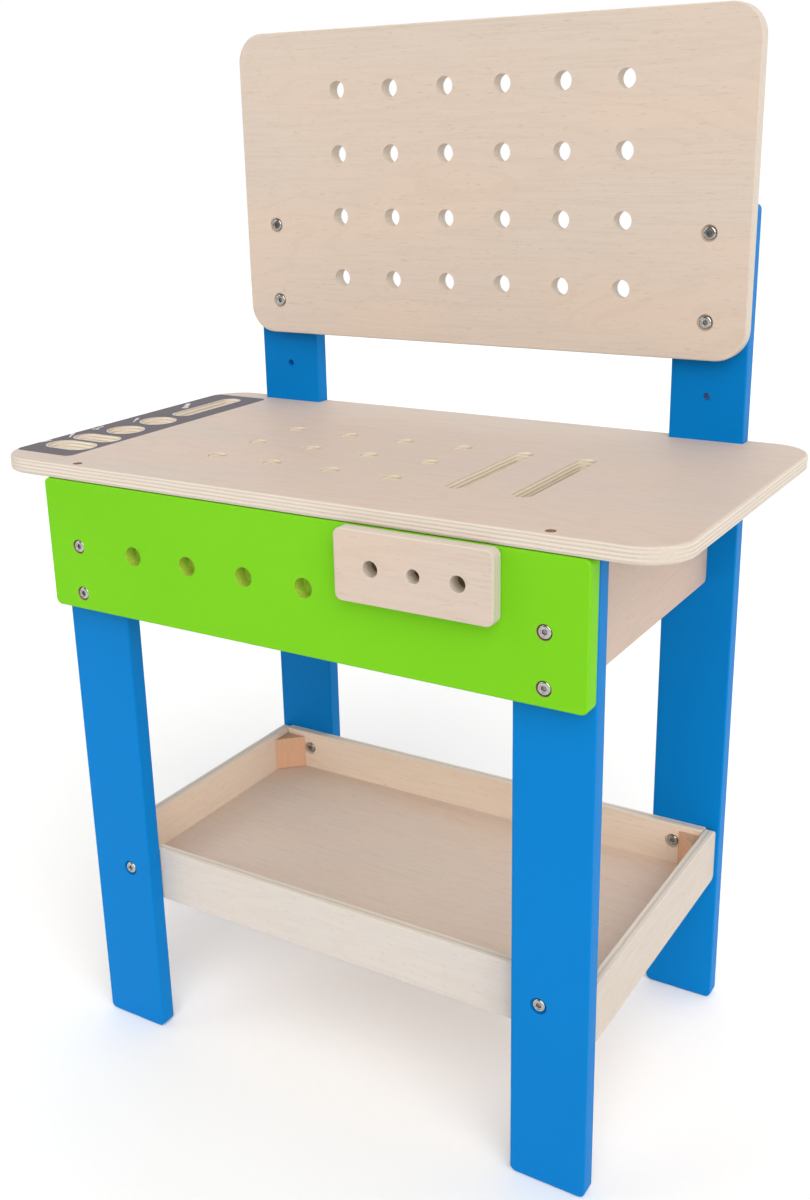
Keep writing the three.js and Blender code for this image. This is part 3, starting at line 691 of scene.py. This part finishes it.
def thread_tap(place, start, end):
    """The wooden thread's groove as a solid: a wedge carried round the hole along a helix."""
    deselect()
    inner = THREAD_CREST / 2 - THREAD_OVERLAP
    outer = THREAD_CREST / 2 + THREAD_DEPTH
    bpy.ops.mesh.primitive_plane_add(
        size=1, location=((inner + outer) / 2, 0, 0), rotation=(math.pi / 2, 0, 0),
        scale=(outer - inner, THREAD_PITCH * THREAD_MOUTH, 1))
    tap = settle(bpy.context.object, "tap")
    bpy.ops.object.mode_set(mode="EDIT")
    bpy.ops.mesh.delete(type="ONLY_FACE")
    bpy.ops.object.mode_set(mode="OBJECT")
    for vertex in tap.data.vertices:
        if vertex.co.x > THREAD_CREST / 2:
            vertex.co.z *= THREAD_ROOT
    modifier = tap.modifiers.new("helix", "SCREW")
    modifier.axis = "Z"
    modifier.screw_offset = THREAD_PITCH
    modifier.iterations = math.ceil((end - start) / THREAD_PITCH)
    modifier.steps = THREAD_STEPS
    modifier.render_steps = THREAD_STEPS
    apply_modifier(tap, modifier)
    bpy.ops.object.mode_set(mode="EDIT")
    bpy.ops.mesh.select_mode(type="EDGE")
    bpy.ops.mesh.select_all(action="DESELECT")
    bpy.ops.mesh.select_non_manifold()
    bpy.ops.mesh.fill_holes(sides=0)
    bpy.ops.mesh.select_all(action="SELECT")
    bpy.ops.mesh.normals_make_consistent(inside=False)
    bpy.ops.object.mode_set(mode="OBJECT")
    tap.rotation_euler = (-math.pi / 2, 0, 0)
    tap.location = (place.x, start, place.z)
    return settle(tap, "tap")


# ---------- legs, posts, rails and tray ----------

def legs():
    for side in SIDES:
        low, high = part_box(f"front_leg_{side}")
        piece = board(f"front_leg_{side}_painted", low, high, Y, BOARD_CORNER, BOARD_ROUNDING)
        sink_bolts(piece, centres(f"tray_bolt_front_{side}"), low.y, high.y)
        soften(piece, PAINTED_RIM)
        finish(piece, BLUE, "blue_paint", f"front_leg_{side}")


def posts():
    for side in SIDES:
        low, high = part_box(f"rear_post_{side}")
        piece = board(f"rear_post_{side}_painted", low, high, Y, BOARD_CORNER, BOARD_ROUNDING)
        sleeves = centres(f"panel_nut_{side}_lower", f"panel_nut_{side}_upper", f"tray_nut_rear_{side}")
        drill(piece, Y, sleeves, NUT_BORE, low.y - PAST, high.y + PAST)
        panel_bolt = middle(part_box(f"panel_bolt_{side}_lower"))
        spare = (panel_bolt.x, 0, panel_bolt.z - SPARE_HOLE_DROP)
        drill(piece, Y, [spare], SPARE_HOLE, low.y - PAST, high.y + PAST)
        bolt_spots = centres(f"frame_bolt_{side}_lower", f"frame_bolt_{side}_upper")
        sink_bolts(piece, bolt_spots, low.y, high.y, from_back=True)
        soften(piece, PAINTED_RIM)
        finish(piece, BLUE, "blue_paint", f"rear_post_{side}")


def side_rails():
    """The rails under the worktop's ends, bored from inside for their cross nuts."""
    for side in SIDES:
        low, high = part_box(f"side_apron_{side}")
        piece = board(f"side_rail_{side}_plywood", low, high, X, BOARD_CORNER, RAIL_ROUNDING)
        inner, into = (low.x, 1) if side == "right" else (high.x, -1)
        nuts_here = [f"{kind}_nut_{side}_{level}" for kind in ("apron", "frame") for level in LEVELS]
        drill(piece, X, centres(*nuts_here), NUT_BORE, inner - into * PAST, inner + into * NUT_BORE_DEPTH)
        soften(piece)
        name = f"side_rail_{side}_birch_plywood"
        material = birch_plywood(name, Y, X, (low, high), RAIL_PLIES, RAIL_VENEERS[side])
        finish(piece, material, "birch", f"side_apron_{side}")


def rear_rail():
    """The hidden rear rail and its dowels, which keep their CAD shapes."""
    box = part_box("rear_apron")
    dress(birch_plywood("rear_rail_birch_plywood", X, Y, box, RAIL_PLIES, RAIL_VENEERS["rear"]), "rear_apron")
    dress(BEECH, *(f"dowel_{side}_{level}" for side in SIDES for level in LEVELS))


def tray():
    for end in ENDS:
        low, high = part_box(f"tray_wall_{end}")
        piece = board(f"tray_wall_{end}_plywood", low, high, Y, TRAY_END_CORNER, TRAY_ROUNDING, steps=2)
        if end == "rear":
            sink_bolts(piece, centres("tray_bolt_rear_left", "tray_bolt_rear_right"), low.y, high.y)
        else:
            nut_spots = centres("tray_nut_front_left", "tray_nut_front_right")
            drill(piece, Y, nut_spots, NUT_BORE, low.y - PAST, high.y + PAST)
        finish_tray_wall(piece, end, X, Y)
    for side in SIDES:
        low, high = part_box(f"tray_wall_{side}")
        piece = board(f"tray_wall_{side}_plywood", low, high, X, BOARD_CORNER, TRAY_ROUNDING)
        finish_tray_wall(piece, side, Y, X)
    floor = birch_plywood("tray_floor_birch_plywood", X, Z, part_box("tray_floor"), FLOOR_PLIES, FLOOR_VENEER)
    dress(floor, "tray_floor")


def finish_tray_wall(piece, wall, grain, thin):
    soften(piece)
    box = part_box(f"tray_wall_{wall}")
    # Each wall's tone carries its painted light or shade
    material = birch_plywood(f"tray_{wall}_birch_plywood", grain, thin, box, TRAY_PLIES, TRAY_LIT_AND_SHADED_VENEERS[wall])
    finish(piece, material, "birch", f"tray_wall_{wall}")


def corner_blocks():
    """Three-sided blocks: each fills the half of its box that is nearest to the tray's corner."""
    for end in ENDS:
        for side in SIDES:
            name = f"tray_corner_block_{end}_{side}"
            low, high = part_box(name)
            piece = board(f"corner_block_{end}_{side}_beech", low, high, Z, 0, 0)
            outward = Vector((-1 if side == "left" else 1, 1 if end == "rear" else -1, 0))
            bpy.ops.object.mode_set(mode="EDIT")
            bpy.ops.mesh.select_all(action="SELECT")
            bpy.ops.mesh.bisect(plane_co=(low + high) / 2, plane_no=outward, use_fill=True, clear_inner=True)
            bpy.ops.object.mode_set(mode="OBJECT")
            soften(piece, CORNER_BLOCK_RIM)
            finish(piece, BEECH, "beech", name)


def dress(material, *names):
    """Gives CAD nodes that keep their own shape a better material."""
    for name in names:
        slots = frame["nodes"][name].data.materials
        slots.clear()
        slots.append(material)


# ---------- fasteners ----------

def bolt_master():
    """A socket head, sunk below the origin and facing outwards along -Y."""
    piece = rod(Y, (0, 0, 0), HEAD, HEAD_SINK, HEAD_SINK + HEAD_THICKNESS)
    piece.data.materials.append(STEEL)
    outermost = HEAD_SINK + NEARLY_ZERO
    pick_edges(piece, lambda a, b: a.y < outermost and b.y < outermost)
    bpy.ops.mesh.bevel(offset=HEAD_ROUNDING, segments=6, affect="EDGES")
    bpy.ops.object.mode_set(mode="OBJECT")
    outside = HEAD_SINK - MM
    cut(piece, [rod(Y, (0, 0, 0), HEAD_DISH, outside, HEAD_SINK + HEAD_DISH_DEPTH)])
    # The hex socket is lined with the darker steel: painted shade inside the recess
    cut(piece, [rod(Y, (0, 0, 0), SOCKET_ACROSS, outside, HEAD_SINK + SOCKET_DEPTH, sides=6)], SHADED_SOCKET_STEEL)
    soften(piece, HEAD_RIM)
    return piece


def copy_to(master, name, place, turned=False):
    deselect()
    master.select_set(True)
    bpy.context.view_layer.objects.active = master
    bpy.ops.object.duplicate(linked=False)
    piece = bpy.context.object
    if turned:
        piece.rotation_euler = (0, 0, math.pi)
    piece.location = place
    return settle(piece, name)


def bolts():
    """A copy of the head for each bolt, with a plain shank behind it. The frame's bolts face backwards."""
    master = bolt_master()
    names = [f"{kind}_bolt_{side}_{level}" for kind in ("panel", "apron", "frame")
             for side in SIDES for level in LEVELS]
    names += [f"tray_bolt_{end}_{side}" for end in ENDS for side in SIDES]
    for name in names:
        low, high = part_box(name)
        centre = (low + high) / 2
        turned = name.startswith("frame")
        face = high.y + HEAD_SINK if turned else low.y - HEAD_SINK
        head = copy_to(master, f"{name}_head", (centre.x, face, centre.z), turned)
        tip = low.y if turned else high.y
        root = face + (-1 if turned else 1) * COUNTERBORE_DEPTH
        shank = rod(Y, centre, BOLT, min(root, tip), max(root, tip), sides=24)
        finish(join([head, shank]), STEEL, "zinc", name)
    bpy.data.objects.remove(master)


def nuts():
    """Round sleeve nuts along Y behind the panel's and the tray's bolts, and cross nuts along X in the
    side rails, each bored for its bolt."""
    for side in SIDES:
        sleeves = [f"panel_nut_{side}_{level}" for level in LEVELS]
        sleeves += [f"tray_nut_{end}_{side}" for end in ENDS]
        crosses = [f"{kind}_nut_{side}_{level}" for kind in ("apron", "frame") for level in LEVELS]
        for axis, names in ((Y, sleeves), (X, crosses)):
            for name in names:
                low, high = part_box(name)
                piece = rod(axis, (low + high) / 2, NUT, low[axis], high[axis], sides=40)
                bolt_spots = centres(name.replace("nut", "bolt"))
                drill(piece, Y, bolt_spots, BOLT_BORE, low.y - PAST, high.y + PAST)
                soften(piece, NUT_RIM)
                piece.name = f"{name}_round"
                finish(piece, STEEL, "zinc", name)


def worktop_screws():
    """Flat cross-slotted screws, sunk below the worktop's face."""
    for side in SIDES:
        name = f"worktop_screw_{side}"
        low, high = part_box(name)
        centre = (low + high) / 2
        neck = high.z - SCREW_HEAD_THICKNESS
        piece = rod(Z, centre, SCREW_HEAD, neck, high.z, sides=32)
        for half_x, half_y in (SCREW_SLOT, SCREW_SLOT[::-1]):
            slot = board("slot", (centre.x - half_x, centre.y - half_y, high.z - SCREW_SLOT_DEPTH),
                         (centre.x + half_x, centre.y + half_y, high.z + MM), Z, 0, 0)
            cut(piece, [slot])
        piece = join([piece, rod(Z, centre, SCREW, low.z, neck, sides=16)])
        soften(piece, SCREW_RIM)
        piece.name = f"{name}_crossed_head"
        finish(piece, BLACK_STEEL, "black_steel", name)


# ---------- studio ----------

def studio():
    """A pale floor in a room whose light comes from a white wall behind the bench, one large soft light
    high in front on the right and a small one in front on the left. The room itself is seen plain white
    from everywhere."""
    deselect()
    bpy.ops.mesh.primitive_plane_add(size=FLOOR_SIZE, location=(0, 0, -FLOOR_DROP))
    floor = settle(bpy.context.object, "floor")
    floor.data.materials.append(studio_sweep("pale_background_card"))
    world = bpy.data.worlds.new("studio_room")
    world.use_nodes = True
    tree = world.node_tree
    tree.nodes.clear()
    way = node(tree, "ShaderNodeTexCoord").outputs["Generated"]
    backwards = node(tree, "ShaderNodeSeparateXYZ", {0: way}).outputs[Y]
    room = ramp(tree, backwards, *ROOM_CHANGE, ROOM_DIM, ROOM_WHITE)
    key, side = soft_light(tree, way, *KEY_LIGHT), soft_light(tree, way, *SIDE_LIGHT)
    light = calculate(tree, "ADD", calculate(tree, "ADD", room, key), side)
    seen = node(tree, "ShaderNodeLightPath").outputs["Is Camera Ray"]
    strength = node(tree, "ShaderNodeMix", {0: seen, 2: light, 3: ROOM_WHITE}).outputs[0]
    background = node(tree, "ShaderNodeBackground", {"Color": (1, 1, 1, 1), "Strength": strength})
    node(tree, "ShaderNodeOutputWorld", {"Surface": background.outputs[0]})
    bpy.context.scene.world = world


def soft_light(tree, way, towards, begins, full, strength):
    """A round patch of light: its brightness where the room is looked at along the given way."""
    nearness = node(tree, "ShaderNodeVectorMath", {0: way, 1: towards.normalized()}, operation="DOT_PRODUCT")
    return ramp(tree, nearness.outputs["Value"], begins, full, 0, strength)


def camera():
    """A view from the bench's front right, a little below its top, slightly rolled."""
    data = bpy.data.cameras.new("camera")
    data.lens = CAMERA_LENS
    data.sensor_width = CAMERA_SENSOR
    data.shift_x, data.shift_y = CAMERA_SHIFT
    view = bpy.data.objects.new("camera", data)
    bpy.context.scene.collection.objects.link(view)
    turn, tilt, roll = (math.radians(angle) for angle in (CAMERA_TURN, CAMERA_TILT, CAMERA_ROLL))
    view.matrix_world = (Matrix.Translation(CAMERA_PLACE) @ Matrix.Rotation(turn, 4, "Z")
                         @ Matrix.Rotation(math.pi / 2 - tilt, 4, "X") @ Matrix.Rotation(roll, 4, "Z"))
    bpy.context.scene.camera = view


worktop()
tool_rack()
back_panel()
front_board()
vise_block()
legs()
posts()
side_rails()
tray()
corner_blocks()
bolts()
worktop_screws()
nuts()
rear_rail()
camera()
studio()
bpy.context.scene.view_settings.view_transform = "Standard"
